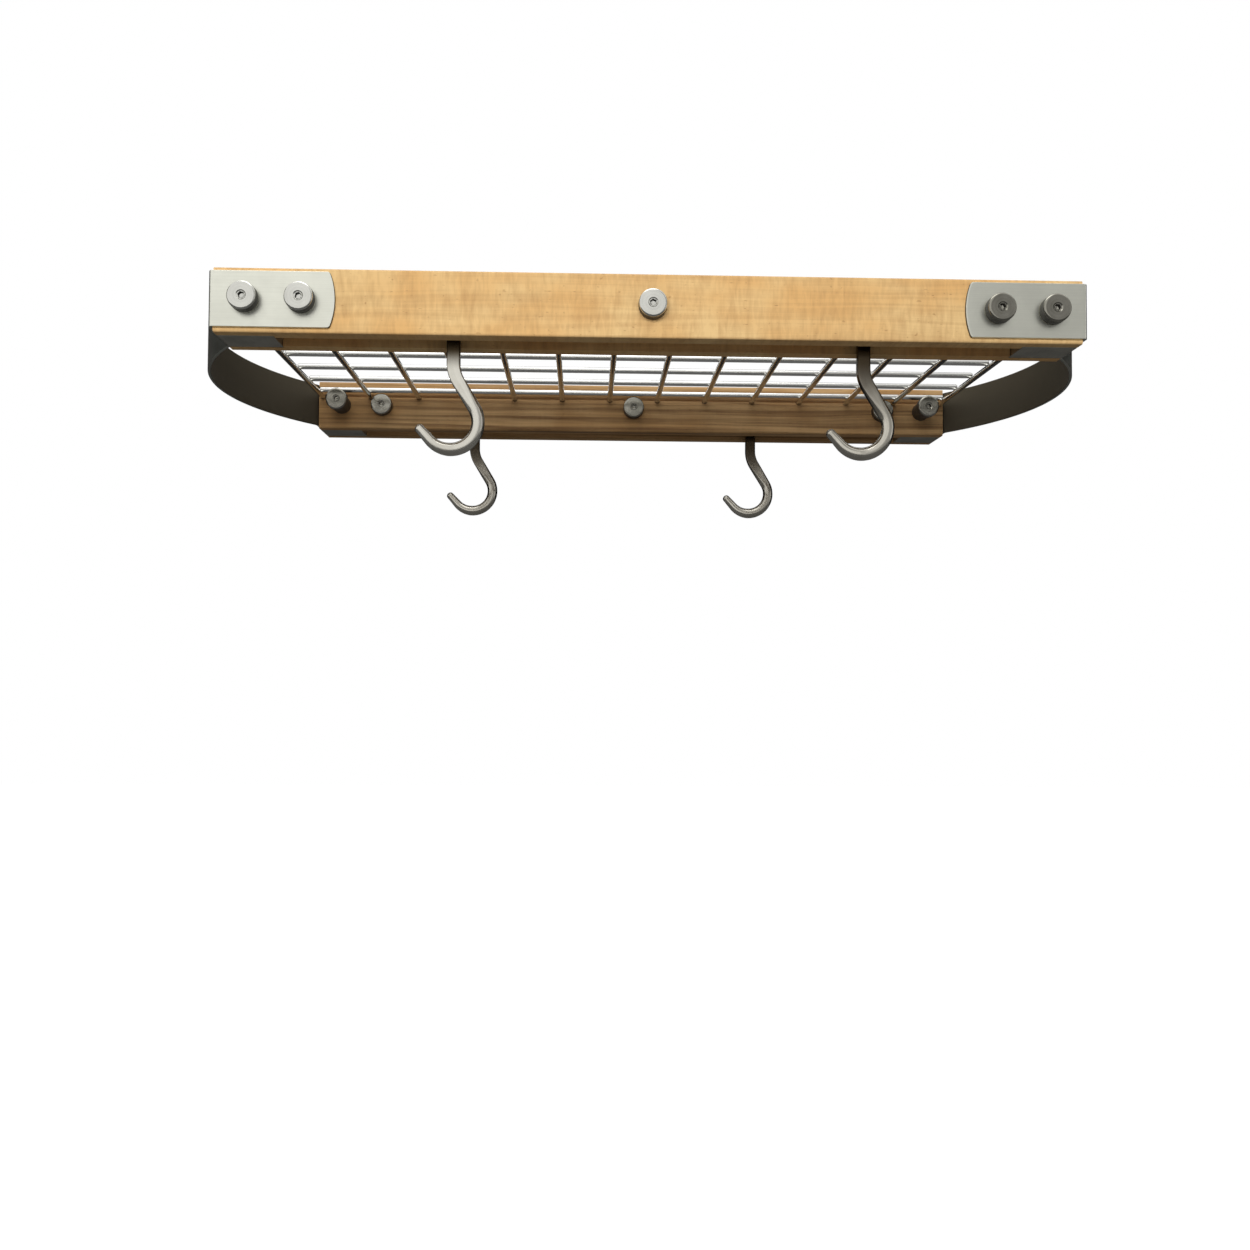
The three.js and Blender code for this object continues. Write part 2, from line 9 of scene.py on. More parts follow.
import logging
import math
from dataclasses import dataclass, field, replace
from enum import Enum
from typing import Any, Optional, Sequence, Union

import bmesh
import bpy
import numpy as np
from mathutils import Matrix, Vector


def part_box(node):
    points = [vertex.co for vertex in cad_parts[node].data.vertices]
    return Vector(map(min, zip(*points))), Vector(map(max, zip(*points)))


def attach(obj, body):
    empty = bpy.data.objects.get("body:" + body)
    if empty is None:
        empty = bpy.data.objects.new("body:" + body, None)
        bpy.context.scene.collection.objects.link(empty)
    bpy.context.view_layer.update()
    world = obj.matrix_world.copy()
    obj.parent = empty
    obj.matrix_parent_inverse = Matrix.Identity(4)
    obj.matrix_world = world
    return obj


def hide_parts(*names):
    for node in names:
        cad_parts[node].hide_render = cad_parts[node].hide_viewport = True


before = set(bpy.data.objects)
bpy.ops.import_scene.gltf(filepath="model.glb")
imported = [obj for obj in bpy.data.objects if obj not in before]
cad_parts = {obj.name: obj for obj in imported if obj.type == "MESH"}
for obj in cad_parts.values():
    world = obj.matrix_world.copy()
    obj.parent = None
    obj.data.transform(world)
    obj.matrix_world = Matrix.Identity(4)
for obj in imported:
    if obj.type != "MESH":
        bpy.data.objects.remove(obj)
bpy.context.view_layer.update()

log = logging.getLogger("pot_rack")

Number = Union[int, float]
Colour = tuple[float, float, float]
Place = tuple[float, float, float]

ROWS = ("front", "rear")
ENDS = ("left", "right")
HALF_TURN = math.pi
QUARTER_TURN = math.pi / 2.0
SHARP_EDGE = math.radians(35.0)
SAME_POINT = 1e-7
NO_LENGTH = 1e-8


# ------------------------------------------------------------------ shader graphs


class Signal:
    """A value that runs along a shader link and can be used in arithmetic."""

    def __init__(self, graph: "Graph", socket: bpy.types.NodeSocket) -> None:
        """Wrap an output socket.

        Args:
            graph: The node tree that the socket belongs to.
            socket: The output socket that carries the value.
        """
        self.graph = graph
        self.socket = socket

    def _math(self, operation: str, *values: Union["Signal", Number]) -> "Signal":
        """Add one Math node.

        Args:
            operation: The Math node's operation.
            *values: Its inputs in order.

        Returns:
            The node's result.
        """
        node = self.graph.node("ShaderNodeMath", {"operation": operation}, dict(enumerate(values)))
        return Signal(self.graph, node.outputs[0])

    def __add__(self, other: Union["Signal", Number]) -> "Signal":
        """The sum."""
        return self._math("ADD", self, other)

    __radd__ = __add__

    def __mul__(self, other: Union["Signal", Number]) -> "Signal":
        """The product."""
        return self._math("MULTIPLY", self, other)

    __rmul__ = __mul__

    def __sub__(self, other: Union["Signal", Number]) -> "Signal":
        """The difference."""
        return self._math("SUBTRACT", self, other)

    def __rsub__(self, other: Number) -> "Signal":
        """The difference from a number."""
        return self._math("SUBTRACT", other, self)

    def __abs__(self) -> "Signal":
        """The size without the sign."""
        return self._math("ABSOLUTE", self)

    def highest(self, other: Union["Signal", Number]) -> "Signal":
        """The larger of this and another value."""
        return self._math("MAXIMUM", self, other)

    def step(self, low: Number, high: Number) -> "Signal":
        """Ease smoothly from 0 to 1.

        Args:
            low: The input up to which the result is 0.
            high: The input from which it is 1.

        Returns:
            The eased value.
        """
        values = {"Value": self, "From Min": low, "From Max": high}
        node = self.graph.node("ShaderNodeMapRange", {"interpolation_type": "SMOOTHSTEP"}, values)
        return Signal(self.graph, node.outputs[0])


class Graph:
    """The node tree of one material, or of the world."""

    def __init__(self, tree: bpy.types.NodeTree) -> None:
        """Empty a node tree and start building in it.

        Args:
            tree: The tree to build in.
        """
        self.tree = tree
        tree.nodes.clear()

    def node(self, kind: str, settings: Optional[dict[str, Any]] = None,
             inputs: Optional[dict[Union[str, int], Any]] = None) -> bpy.types.Node:
        """Add a node.

        Args:
            kind: The node's type.
            settings: Its settings, which are set first.
            inputs: Links or values for its sockets, by name or by place.

        Returns:
            The new node.
        """
        node = self.tree.nodes.new(kind)
        for name, value in (settings or {}).items():
            setattr(node, name, value)
        for key, value in (inputs or {}).items():
            if isinstance(value, Signal):
                self.tree.links.new(value.socket, node.inputs[key])
            else:
                node.inputs[key].default_value = value
        return node

    def coordinates(self, output: str = "Object") -> Signal:
        """The object's own coordinates, or its UV map."""
        return Signal(self, self.node("ShaderNodeTexCoord").outputs[output])

    def normal(self) -> Signal:
        """The direction that the surface faces."""
        return Signal(self, self.node("ShaderNodeNewGeometry").outputs["Normal"])

    def axes(self, vector: Signal) -> tuple[Signal, Signal, Signal]:
        """The three parts of a vector."""
        node = self.node("ShaderNodeSeparateXYZ", None, {0: vector})
        return tuple(Signal(self, socket) for socket in node.outputs)

    def vector(self, x: Signal, y: Signal, z: Signal) -> Signal:
        """A vector from three parts."""
        return Signal(self, self.node("ShaderNodeCombineXYZ", None, {0: x, 1: y, 2: z}).outputs[0])

    def stretched(self, vector: Signal, scale: Place, shift: Place = (0.0, 0.0, 0.0)) -> Signal:
        """Scale a vector along each axis.

        Args:
            vector: The coordinates.
            scale: The factor along each axis.
            shift: What is added afterwards.

        Returns:
            The scaled coordinates.
        """
        node = self.node("ShaderNodeMapping", None, {"Vector": vector, "Location": shift, "Scale": scale})
        return Signal(self, node.outputs[0])

    def noise(self, vector: Signal, scale: Number = 1.0, detail: Number = 3.0, roughness: Number = 0.5,
              distortion: Number = 0.0) -> Signal:
        """Smooth noise from 0 to 1.

        Args:
            vector: The coordinates.
            scale: The frequency.
            detail: How many octaves there are.
            roughness: How strong the fine ones are.
            distortion: How far the pattern is swirled.

        Returns:
            The noise.
        """
        values = {"Vector": vector, "Scale": scale, "Detail": detail, "Roughness": roughness,
                  "Distortion": distortion}
        return Signal(self, self.node("ShaderNodeTexNoise", None, values).outputs[0])

    def blend(self, share: Union[Signal, Number], first: Union[Signal, Colour],
              second: Union[Signal, Colour]) -> Signal:
        """Mix two colours.

        Args:
            share: 0 for the first colour and 1 for the second.
            first: The first colour.
            second: The second colour.

        Returns:
            The mixed colour.
        """
        sides = [c if isinstance(c, Signal) else (*c, 1.0) for c in (first, second)]
        node = self.node("ShaderNodeMix", {"data_type": "RGBA"}, {0: share, 6: sides[0], 7: sides[1]})
        return Signal(self, node.outputs[2])

    def bump(self, height: Signal, distance: Number, strength: Number = 1.0) -> Signal:
        """The surface direction over a height pattern.

        Args:
            height: The pattern.
            distance: The height, in metres, of a full step.
            strength: How much of it shows.

        Returns:
            The direction.
        """
        values = {"Height": height, "Distance": distance, "Strength": strength}
        return Signal(self, self.node("ShaderNodeBump", None, values).outputs[0])

    def surface(self, shader: bpy.types.Node) -> None:
        """Send a shader to the material's output."""
        output = self.node("ShaderNodeOutputMaterial")
        self.tree.links.new(shader.outputs[0], output.inputs[0])


def new_material(name: str) -> tuple[bpy.types.Material, Graph]:
    """Start a material with an empty node tree.

    Args:
        name: The material's name.

    Returns:
        The material and its graph.
    """
    material = bpy.data.materials.new(name)
    material.use_nodes = True
    return material, Graph(material.node_tree)


# ------------------------------------------------------------------ finishes


@dataclass(frozen=True)
class Maple:
    """Maple under a thin matt oil, with long growth lines and a curl that ripples across them.

    The figure is a solid pattern, so it runs on round the edges. The growth lines are noise
    over the depth through the layers, drawn out along the board and bent by a slow drift. The
    curl is noise drawn out up the board, in a broad and a fine width. Short dark ticks and
    round eyes lie between them.
    """

    name: str
    pale: Colour = (0.77, 0.53, 0.245)
    warm: Colour = (0.72, 0.43, 0.17)
    line: Colour = (0.46, 0.26, 0.105)
    end_grain: Colour = (0.36, 0.20, 0.08)
    streaks: float = 0.30
    curl: float = 0.85
    ticks: float = 0.8
    shift: float = 0.0
    roughness: float = 0.55

    def material(self) -> bpy.types.Material:
        """Build the wood.

        Returns:
            The material.
        """
        material, graph = new_material(self.name)
        place = graph.stretched(graph.coordinates(), (1.0, 1.0, 1.0), (self.shift, 0.0, self.shift))
        along, back, up = graph.axes(place)
        drift = graph.noise(graph.stretched(place, (2.4, 15.0, 15.0)), detail=2.0)
        sway = graph.noise(graph.stretched(place, (11.0, 45.0, 45.0)), detail=2.0)
        depth = up + back * 0.4 + drift * 0.02 + sway * 0.003
        layers = graph.noise(graph.vector(along * 3.0, back * 6.0, depth * 260.0), roughness=0.6)
        fibre = graph.noise(graph.vector(along * 26.0, back * 900.0, depth * 1100.0), detail=2.0,
                            roughness=0.6)
        broad = graph.noise(graph.stretched(place, (68.0, 18.0, 26.0)), detail=2.0, distortion=0.6)
        fine = graph.noise(graph.stretched(place, (290.0, 60.0, 62.0)), detail=2.0, roughness=0.65,
                           distortion=0.4)
        blush = graph.noise(graph.stretched(place, (16.0, 24.0, 30.0)), detail=2.0)
        tick = graph.noise(graph.stretched(place, (190.0, 900.0, 900.0)), detail=1.0).step(0.70, 0.77)
        eyes = graph.noise(graph.stretched(place, (300.0, 330.0, 330.0)), detail=0.0).step(0.80, 0.86)
        ground = graph.blend(blush.step(0.36, 0.66), self.pale, self.warm)
        shade = (layers.step(0.36, 0.70) * self.streaks + (fibre - 0.42) * (0.55 * self.streaks + 0.15)
                 + (broad - 0.45) * self.curl + (fine - 0.5) * (1.3 * self.curl)
                 + (tick + eyes * 0.6) * self.ticks + 0.05)
        wood = graph.blend(shade, ground, self.line)
        facing = abs(graph.axes(graph.normal())[0]).step(0.8, 0.95)
        height = fibre * 0.5 + fine * (0.4 * self.curl) - tick * 0.6
        shader = graph.node("ShaderNodeBsdfPrincipled", None, {
            "Base Color": graph.blend(facing * 0.75, wood, self.end_grain),
            "Roughness": fibre * 0.12 + facing * 0.2 + (self.roughness - 0.06),
            "Specular IOR Level": 0.3,
            "Normal": graph.bump(height, 0.00007, 0.8),
        })
        graph.surface(shader)
        return material


class Lay(Enum):
    """How the fine lines of a metal's finish run over a piece."""

    ALONG = "along the piece"
    ROUND = "round the piece's axis"


class PaintedShade(Enum):
    """Where a piece's colour is painted dark, as painted shade and painted dark reflection."""

    NOWHERE = "nowhere"
    SIDES = "on faces that look away from the piece's Y axis"
    INSIDE = "on faces that look towards the rack's middle"
    TOP = "at the piece's upper end"


@dataclass(frozen=True)
class Steel:
    """Stainless steel whose fine lines follow the piece's UV map, which is in metres.

    The lines are noise stretched along U for a piece brushed along its length, or along V for
    a turned one. They vary the tone and the roughness and lift the surface a little. A part of
    the piece may be painted dark, as painted shade and painted dark reflection: some of its faces,
    or its upper end, which darkens between two given heights.
    """

    name: str
    lay: Lay
    colour: Colour = (0.66, 0.655, 0.615)
    tint: Colour = (0.50, 0.49, 0.455)
    roughness: float = 0.28
    line_depth: float = 0.000012
    line_pitch: float = 0.0007
    smudge: float = 0.10
    # The next three fields paint shade: where the colour is painted dark as painted shade and painted dark
    # reflection, the dark colour painted there, and the heights over which a painted dark upper end
    # darkens.
    dark: PaintedShade = PaintedShade.NOWHERE
    painted_shade_colour: Colour = (0.03, 0.027, 0.022)
    painted_shade_heights: tuple[float, float] = (-0.055, -0.008)
    change_along: float = 6.0

    def painted_shade_share(self, graph: Graph) -> Signal:
        """How much painted shade each place gets, from 0 to 1.

        Args:
            graph: The material's graph.

        Returns:
            The share of the painted dark colour.
        """
        x, _, z = graph.axes(graph.coordinates())
        if self.dark is PaintedShade.TOP:
            return z.step(*self.painted_shade_heights)
        out_x, out_y, _ = graph.axes(graph.normal())
        if self.dark is PaintedShade.SIDES:
            return 1.0 - abs(out_y).step(0.05, 0.30)
        return (out_x * x * -1.0).step(0.03, 0.09)

    def material(self) -> bpy.types.Material:
        """Build the metal.

        Returns:
            The material.
        """
        material, graph = new_material(self.name)
        fine = 1.0 / self.line_pitch
        slow = self.change_along
        scale = (slow, fine, fine) if self.lay is Lay.ALONG else (fine, slow, fine)
        lines = graph.noise(graph.stretched(graph.coordinates("UV"), scale), roughness=0.7)
        cloud = graph.noise(graph.coordinates(), scale=38.0, roughness=0.6)
        tone = lines.step(0.3, 0.7) * 0.35 + cloud.step(0.3, 0.75) * 0.65
        colour = graph.blend(tone, self.colour, self.tint)
        roughness = lines * 0.12 + cloud * self.smudge + (self.roughness - 0.1)
        metallic = 1.0
        # Painted shade and painted dark reflection: the chosen faces or the upper end are painted dark, and
        # dark faces also turn rougher and less metallic.
        if self.dark is not PaintedShade.NOWHERE:
            share = self.painted_shade_share(graph)
            colour = graph.blend(share, colour, self.painted_shade_colour)
            if self.dark is not PaintedShade.TOP:
                roughness = roughness + share * 0.3
                metallic = 1.0 - share * 0.8
        shader = graph.node("ShaderNodeBsdfPrincipled", None, {
            "Base Color": colour,
            "Metallic": metallic,
            "Roughness": roughness,
            "Normal": graph.bump(lines, self.line_depth, 0.6),
        })
        graph.surface(shader)
        return material


@dataclass(frozen=True)
class MilledBlock:
    """Dull milled metal of the end blocks, with cutter marks across them."""

    name: str = "milled_block"
    colour: Colour = (0.56, 0.54, 0.47)
    dark: Colour = (0.40, 0.385, 0.33)
    roughness: float = 0.45

    def material(self) -> bpy.types.Material:
        """Build the metal.

        Returns:
            The material.
        """
        material, graph = new_material(self.name)
        place = graph.coordinates()
        marks = graph.noise(graph.stretched(place, (1400.0, 60.0, 60.0)), detail=2.0)
        cloud = graph.noise(place, scale=60.0)
        tone = marks.step(0.35, 0.65) * 0.4 + cloud.step(0.3, 0.7) * 0.6
        shader = graph.node("ShaderNodeBsdfPrincipled", None, {
            "Base Color": graph.blend(tone, self.colour, self.dark),
            "Metallic": 1.0,
            "Roughness": marks * 0.15 + (self.roughness - 0.07),
            "Normal": graph.bump(marks, 0.00002, 0.7),
        })
        graph.surface(shader)
        return material


# ------------------------------------------------------------------ surfaces


@dataclass
class Surface:
    """A surface over a grid of two parameters.

    Attributes:
        points: Rows of points, as an array of rows by columns by 3.
        uv: The same grid in the plane, with one more column where the surface is closed.
        closed: Whether the last column joins the first.
    """

    points: np.ndarray
    uv: np.ndarray
    closed: bool = True

    def quads(self) -> tuple[np.ndarray, np.ndarray]:
        """The faces between neighbouring rows and columns.

        Returns:
            The corners of each face as indices, and as places in the plane.
        """
        rows, columns = self.points.shape[:2]
        across = columns if self.closed else columns - 1
        i, j = np.meshgrid(np.arange(rows - 1), np.arange(across), indexing="ij")
        following = (j + 1) % columns
        index = np.stack([i * columns + j, i * columns + following,
                          (i + 1) * columns + following, (i + 1) * columns + j], axis=-1)
        flat = np.stack([self.uv[i, j], self.uv[i, j + 1],
                         self.uv[i + 1, j + 1], self.uv[i + 1, j]], axis=-2)
        return index.reshape(-1, 4), flat.reshape(-1, 4, 2)


def make_piece(name: str, surfaces: Sequence[Surface]) -> bpy.types.Object:
    """Put surfaces into one mesh, close their seams and poles and turn the faces outwards.

    Args:
        name: The piece's name.
        surfaces: Its surfaces.

    Returns:
        The piece.
    """
    points = np.concatenate([s.points.reshape(-1, 3) for s in surfaces])
    starts = np.cumsum([0] + [s.points.shape[0] * s.points.shape[1] for s in surfaces[:-1]])
    parts = [s.quads() for s in surfaces]
    index = np.concatenate([quads + start for (quads, _), start in zip(parts, starts)])
    flat = np.concatenate([uv for _, uv in parts])
    mesh = bpy.data.meshes.new(name)
    mesh.from_pydata(points.tolist(), [], index.tolist())
    layer = mesh.uv_layers.new(name="lay")
    layer.data.foreach_set("uv", flat.astype(np.float32).ravel())
    work = bmesh.new()
    work.from_mesh(mesh)
    bmesh.ops.remove_doubles(work, verts=work.verts, dist=SAME_POINT)
    bmesh.ops.dissolve_degenerate(work, edges=work.edges, dist=NO_LENGTH)
    bmesh.ops.recalc_face_normals(work, faces=work.faces)
    work.to_mesh(mesh)
    work.free()
    mesh.polygons.foreach_set("use_smooth", np.ones(len(mesh.polygons), bool))
    mesh.set_sharp_from_angle(angle=SHARP_EDGE)
    piece = bpy.data.objects.new(name, mesh)
    bpy.context.scene.collection.objects.link(piece)
    return piece


def even_shading(piece: bpy.types.Object) -> None:
    """Let a piece's large faces set the shading at their edges, so flats look flat."""
    modifier = piece.modifiers.new("even_shading", "WEIGHTED_NORMAL")
    modifier.keep_sharp = True


def arc(cx: float, cy: float, radius: float, start: float, end: float, steps: int) -> np.ndarray:
    """Points of a circular arc, as the centre plus the radius times (cosine, sine).

    Args:
        cx: The centre's first coordinate.
        cy: Its second.
        radius: The radius.
        start: The first angle in radians.
        end: The last one.
        steps: The number of steps between them.

    Returns:
        The points as rows.
    """
    angle = np.linspace(start, end, steps + 1)
    return np.stack([cx + radius * np.cos(angle), cy + radius * np.sin(angle)], axis=1)


def lengths_along(line: np.ndarray) -> np.ndarray:
    """The distance from a line's start to each of its points."""
    return np.concatenate([[0.0], np.cumsum(np.linalg.norm(np.diff(line, axis=0), axis=1))])


def rounded_section(half_width: np.ndarray, half_depth: np.ndarray, radius: np.ndarray,
                    columns: int) -> tuple[np.ndarray, np.ndarray]:
    """Sections that pass from rounded rectangles to circles.

    Each point is the nearest corner's centre plus the corner radius times (cosine, sine).

    Args:
        half_width: Half of each section's width.
        half_depth: Half of its depth.
        radius: Its corner radius.
        columns: Points round each section, a multiple of 4.

    Returns:
        The two coordinates, as arrays of sections by columns.
    """
    angle = (np.arange(columns) + 0.5) / columns * 2.0 * HALF_TURN
    cos, sin = np.cos(angle), np.sin(angle)
    across = np.sign(cos) * (half_width - radius)[:, None] + radius[:, None] * cos
    through = np.sign(sin) * (half_depth - radius)[:, None] + radius[:, None] * sin
    return across, through


def closed_uv(first: np.ndarray, columns: int, girth: float) -> np.ndarray:
    """The plane grid of a closed surface.

    Args:
        first: The first coordinate of each row.
        columns: The number of columns.
        girth: The length once round.

    Returns:
        The grid, with the closing column.
    """
    round_way = np.linspace(0.0, girth, columns + 1)
    return np.stack(np.meshgrid(first, round_way, indexing="ij"), axis=-1)


# ------------------------------------------------------------------ dressing


def front_centre(node: str) -> np.ndarray:
    """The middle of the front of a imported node's box."""
    low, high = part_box(node)
    return np.array([(low.x + high.x) / 2.0, low.y, (low.z + high.z) / 2.0])


def dress_node(name: str, material: bpy.types.Material) -> None:
    """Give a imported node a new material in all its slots."""
    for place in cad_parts[name].material_slots:
        place.material = material
    log.info("dressed %s with %s", name, material.name)


def stand_in(piece: bpy.types.Object, material: bpy.types.Material, node: str,
             body: str = "rack") -> None:
    """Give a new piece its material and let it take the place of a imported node.

    Args:
        piece: The new piece.
        material: Its material.
        node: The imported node.
        body: The body that carries it.
    """
    piece.data.materials.clear()
    piece.data.materials.append(material)
    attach(piece, body)
    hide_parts(node)
    log.info("made %s: %d faces", piece.name, len(piece.data.polygons))


# ------------------------------------------------------------------ woodwork


@dataclass
class Woodwork:
    """The two rails and the blocks that close the ends of their slots."""

    front: Maple = Maple("maple_front")
    # The rear rail's darker, browner colours are partly its own board's tone and partly painted shade, for
    # the shade it lies in behind the front rail and the shelf.
    rear: Maple = Maple("maple_rear", pale=(0.68, 0.43, 0.20), warm=(0.56, 0.325, 0.135),
                        line=(0.22, 0.115, 0.045), streaks=0.8, curl=0.12, ticks=0.2, shift=0.37)
    block: MilledBlock = MilledBlock()

    def build(self) -> None:
        """Dress the rails and their end blocks."""
        dress_node("front_rail", self.front.material())
        dress_node("rear_rail", self.rear.material())
        block = self.block.material()
        for row in ROWS:
            for side in ENDS:
                dress_node(f"{row}_{side}_end_block", block)


# ------------------------------------------------------------------ side straps


@dataclass
class SideStraps:
    """The two bent steel strips that join the rails and hold them to the wall."""

    thickness: float = 0.0025
    height: float = 0.039
    edge_radius: float = 0.0004
    bend_radius: float = 0.0032
    bow_rise: float = 0.0485
    bow_lead: float = 0.002
    kink_radius: float = 0.009
    end_rise: float = 0.0038
    end_corner: float = 0.0016
    rail_gap: float = 0.293
    bolt_hole: float = 0.0035
    drill_reach: float = 0.006
    drill_columns: int = 32
    plate_points: int = 48
    bow_steps: int = 72
    bend_steps: int = 12
    end_edge_across: float = 0.3
    end_edge_along: float = 0.25
    # The faces towards the rack's middle are painted dark, a painted dark reflection.
    finish: Steel = Steel("strap_steel", Lay.ALONG, colour=(0.80, 0.80, 0.70), tint=(0.68, 0.68, 0.595),
                          roughness=0.30, dark=PaintedShade.INSIDE, painted_shade_colour=(0.08, 0.067, 0.044))

    def outer_line(self, node: str) -> np.ndarray:
        """The right strap's outer line in plan, from the front plate's end to the flange's.

        It is a plate, a quarter round, an end leg, a kink and half a bow, which is an arc
        through the middle of the bow, and then the same mirrored about the middle.

        Args:
            node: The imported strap, which gives the outline's limits.

        Returns:
            The points as rows of (x, y).
        """
        low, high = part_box(node)
        end_x = min(abs(low.x), abs(high.x))
        bow_x = max(abs(low.x), abs(high.x))
        leg_x = bow_x - self.bow_rise
        middle = (low.y + high.y) / 2.0
        half = self.rail_gap / 2.0 + self.bow_lead
        radius = (half**2 + self.bow_rise**2) / (2.0 * self.bow_rise)
        turn = math.asin(half / radius)
        ease = self.kink_radius * math.tan(turn / 2.0)
        kink = arc(leg_x + self.kink_radius, middle - half - ease, self.kink_radius,
                   HALF_TURN, HALF_TURN - turn, self.bend_steps)
        centre = bow_x - radius
        foot = kink[-1] - (centre, middle)
        bow = arc(centre, middle, float(np.hypot(*foot)), math.atan2(foot[1], foot[0]), 0.0,
                  self.bow_steps)
        corner = arc(leg_x - self.bend_radius, low.y + self.bend_radius, self.bend_radius,
                     -QUARTER_TURN, 0.0, self.bend_steps)
        plate = np.stack([np.linspace(end_x, leg_x - self.bend_radius, self.plate_points),
                          np.full(self.plate_points, low.y)], axis=1)
        front = np.concatenate([plate[:-1], corner, kink, bow[1:]])
        rear = front[-2::-1] * (1.0, -1.0) + (0.0, 2.0 * middle)
        return np.concatenate([front, rear])

    def section(self) -> tuple[np.ndarray, np.ndarray]:
        """The strip's section: a tall rectangle with eased edges, finely divided at its edges.

        Returns:
            The height above the middle and the distance from the outer face, round the section.
        """
        half, edge, depth = self.height / 2.0, self.edge_radius, self.thickness
        inner = half - self.end_corner
        rise = half - edge
        shares = np.sin(np.linspace(0.0, QUARTER_TURN, 7))
        near = inner + (rise - inner) * shares
        face = np.concatenate([-near[::-1], np.linspace(-inner, inner, 15)[1:-1], near])
        quarter = np.linspace(0.0, QUARTER_TURN, 5)
        top_out = (rise + edge * np.sin(quarter[1:]), edge - edge * np.cos(quarter[1:]))
        top_in = (rise + edge * np.cos(quarter), depth - edge + edge * np.sin(quarter))
        heights = np.concatenate([face, top_out[0], top_in[0],
                                  face[::-1][1:], -top_out[0], -top_in[0][:-1]])
        depths = np.concatenate([np.zeros(len(face)), top_out[1], top_in[1],
                                 np.full(len(face) - 1, depth), depth - top_out[1], depth - top_in[1][:-1]])
        return heights, depths

    def strip(self, node: str) -> Surface:
        """Carry the section along the outer line.

        A point is the outer line's point, moved inwards by the section's depth and up by its
        height. In the two plates the distance from the end is stretched so that the end
        follows a shallow arc of the height, with a quarter round at each corner. The first
        and last rows close the end faces along the middle of the strip.

        Args:
            node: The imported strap.

        Returns:
            The surface of the strip, for the right side.
        """
        line = self.outer_line(node)
        heights, depths = self.section()
        half, edge, middle = self.height / 2.0, self.edge_radius, self.thickness / 2.0
        radius = (half**2 + self.end_rise**2) / (2.0 * self.end_rise)
        corner = np.clip((np.abs(heights) - (half - self.end_corner)) / self.end_corner, 0.0, 1.0)
        set_back = radius - np.sqrt(radius**2 - heights**2)
        set_back += self.end_corner * (1.0 - np.sqrt(1.0 - corner**2))
        ahead = np.gradient(line, axis=0)
        ahead /= np.linalg.norm(ahead, axis=1)[:, None]
        inward = np.stack([-ahead[:, 1], ahead[:, 0]], axis=1)
        grid = line[:, None, :] + inward[:, None, :] * depths[None, :, None]
        plate = self.plate_points
        first, last = line[0, 0], line[plate - 1, 0]
        share = np.clip((line[:plate, 0] - first) / (last - first), 0.0, 1.0)[:, None]
        shift = set_back[None, :] * (1.0 - share)
        grid[:plate, :, 0] += shift
        grid[-plate:, :, 0] += shift[::-1]
        squeeze = np.array([0.0, 1.0 - edge / middle, 1.0 - self.end_edge_across * edge / middle])
        caps = []
        for row, way in ((0, 1.0), (-1, -1.0)):
            centre_y = line[row, 1] + way * middle
            rows = np.repeat(grid[row][None], len(squeeze), axis=0)
            rows[:, :, 1] = centre_y + (rows[:, :, 1] - centre_y) * squeeze[:, None]
            rows[-1, :, 0] += self.end_edge_along * edge
            grid[row, :, 0] += edge
            caps.append(rows)
        grid = np.concatenate([caps[0], grid, caps[1][::-1]])
        height_grid = np.broadcast_to(heights + (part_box(node)[0].z + half), grid.shape[:2])
        points = np.concatenate([grid, height_grid[:, :, None]], axis=2)
        along = np.pad(lengths_along(line), len(squeeze), mode="edge")
        once_round = np.append(lengths_along(np.stack([heights, depths], axis=1)), 2.0 * self.height)
        uv = np.stack(np.meshgrid(along, once_round, indexing="ij"), axis=-1)
        return Surface(points, uv)

    def drill(self, piece: bpy.types.Object, side: float) -> None:
        """Cut the four bolt holes out of a strap.

        Args:
            piece: The strap.
            side: -1 for the left strap and 1 for the right one.
        """
        name = ENDS[int(side > 0)]
        strap_low, strap_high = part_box(f"{name}_side_strap")
        ring = arc(0.0, 0.0, self.bolt_hole, 0.0, 2.0 * HALF_TURN, self.drill_columns)[:-1]
        radii = np.array([0.0, 1.0, 1.0, 0.0])[:, None]
        reach = np.array([-1.0, -1.0, 1.0, 1.0])[:, None] * self.drill_reach
        depth = np.broadcast_to(reach, (len(reach), len(ring)))
        rows = np.stack([ring[:, 0] * radii, depth, ring[:, 1] * radii], axis=-1)
        uv = np.zeros((len(reach), len(ring) + 1, 2))
        cutters = []
        for row, y in zip(ROWS, (strap_low.y, strap_high.y)):
            for place in ("outer", "inner"):
                x, _, z = front_centre(f"{row}_bolt_{name}_{place}")
                cutters.append(Surface(rows + (x, y, z), uv))
        cutter = make_piece("drill", cutters)
        modifier = piece.modifiers.new("holes", "BOOLEAN")
        modifier.object = cutter
        modifier.solver = "EXACT"
        graph = bpy.context.evaluated_depsgraph_get()
        drilled = bpy.data.meshes.new_from_object(piece.evaluated_get(graph))
        piece.modifiers.clear()
        piece.data = drilled
        bpy.data.objects.remove(cutter)

    def build(self) -> None:
        """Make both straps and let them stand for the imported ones."""
        material = self.finish.material()
        for name, side in zip(ENDS, (-1.0, 1.0)):
            node = f"{name}_side_strap"
            strip = self.strip(node)
            strip.points[:, :, 0] *= side
            piece = make_piece(f"{name}_bowed_strap", [strip])
            self.drill(piece, side)
            even_shading(piece)
            stand_in(piece, material, node)


# ------------------------------------------------------------------ wire shelf


